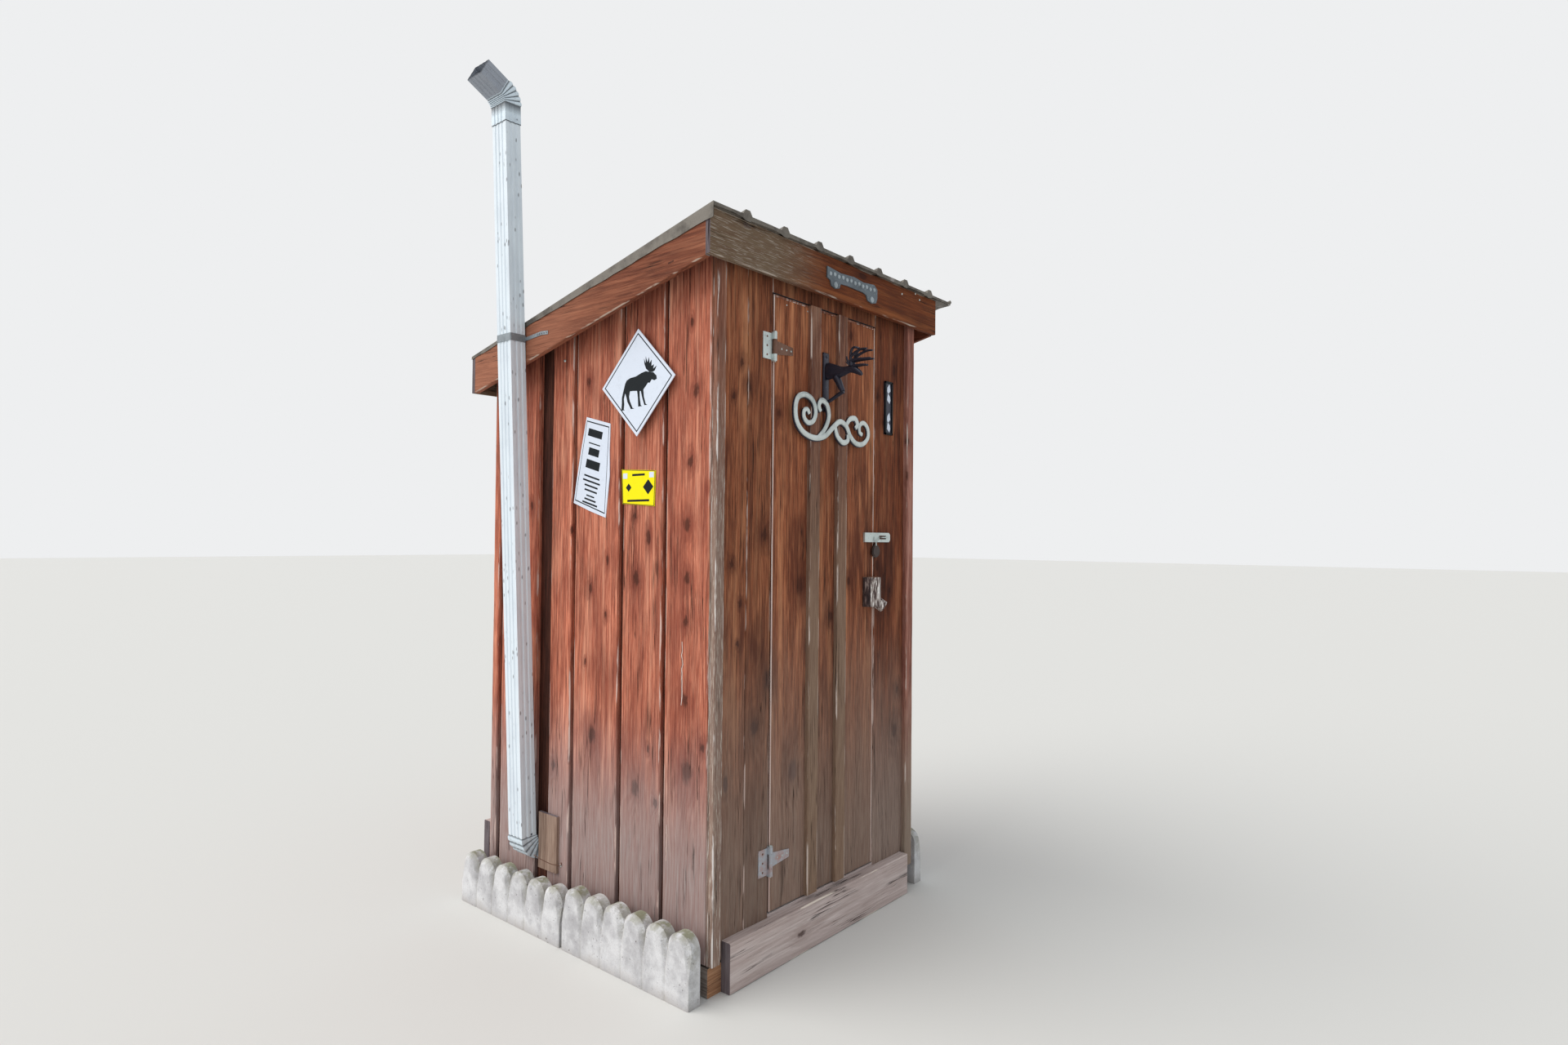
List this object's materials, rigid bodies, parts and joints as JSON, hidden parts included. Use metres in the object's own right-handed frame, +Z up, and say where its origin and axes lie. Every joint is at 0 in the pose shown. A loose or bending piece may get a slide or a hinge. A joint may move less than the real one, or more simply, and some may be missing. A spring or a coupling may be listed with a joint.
{
  "type": "wooden outhouse",
  "caption": "Narrow board-walled outhouse with a sloping ribbed sheet roof, a hinged plank door, a square vent pipe and round-topped edging beside its foot.",
  "frame": {"origin": "centre of the bounding box on the ground, under the skids and edging", "axes": "+Z up; the door's front faces -Y; the vent pipe stands on the -X side"},
  "size_m": [1.6185, 1.4286, 3.0483],
  "materials": {
    "red_wall_boards": "weathered red stain, rough",
    "brown_front_boards": "dark brown-red stain, weathered",
    "fascia_boards": "weathered stain, cracked",
    "raw_timber": "bare sawn softwood",
    "grey_plank": "weathered grey-beige sawn plank",
    "trim_wood": "peeled grey-brown paint",
    "handle_wood": "weathered half-round log, grey streaks",
    "roof_metal": "weathered grey-brown sheet",
    "pipe_metal": "white enamel, spotted",
    "elbow_metal": "thin white enamel gone grey",
    "galvanised_steel": "galvanised, dull",
    "rusty_steel": "rusty strap",
    "dark_iron": "dark cast iron",
    "edging_concrete": "pale cast concrete, mossy tops"
  },
  "bodies": {
    "hut": {"skids": "grey_plank", "floor_frame": "raw_timber", "floor_boards": "raw_timber", "corner_posts": "raw_timber", "left_jamb": "raw_timber", "right_jamb": "raw_timber", "wall_girts": "raw_timber", "top_plates": "raw_timber", "rafters": "raw_timber", "roof_deck": "raw_timber", "roof_sheet": "roof_metal", "front_fascia": "fascia_boards", "back_fascia": "fascia_boards", "left_fascia": "fascia_boards", "right_fascia": "fascia_boards", "left_wall": "red_wall_boards", "right_wall": "red_wall_boards", "back_wall": "red_wall_boards", "front_wall_left": "brown_front_boards", "front_wall_right": "brown_front_boards", "front_wall_over_door": "brown_front_boards", "door_sill": "grey_plank", "left_corner_trim": "trim_wood", "right_corner_trim": "trim_wood", "front_plank": "grey_plank", "back_plank": "grey_plank", "left_edging": "edging_concrete", "right_edging": "edging_concrete", "vent_pipe": "pipe_metal", "top_elbow": "elbow_metal", "bottom_elbow": "elbow_metal", "pipe_strap": "galvanised_steel", "patch_board": "red_wall_boards", "upper_hinge_plate": "galvanised_steel", "lower_hinge_plate": "galvanised_steel", "hinge_pins": "galvanised_steel", "hasp_staple": "galvanised_steel"},
    "door": {"door_boards": "brown_front_boards", "door_battens": "brown_front_boards", "door_ledges": "raw_timber", "upper_hinge_strap": "rusty_steel", "lower_hinge_strap": "rusty_steel", "handle_block": "handle_wood", "hasp": "galvanised_steel", "coat_hook": "dark_iron"}
  },
  "joints": [
    {"name": "door_hinge", "type": "hinge", "parent": "hut", "child": "door", "pos_m": [-0.24474, -0.5183, 1.181], "axis": [0, 0, -1], "range_deg": [0, 110]}
  ]
}
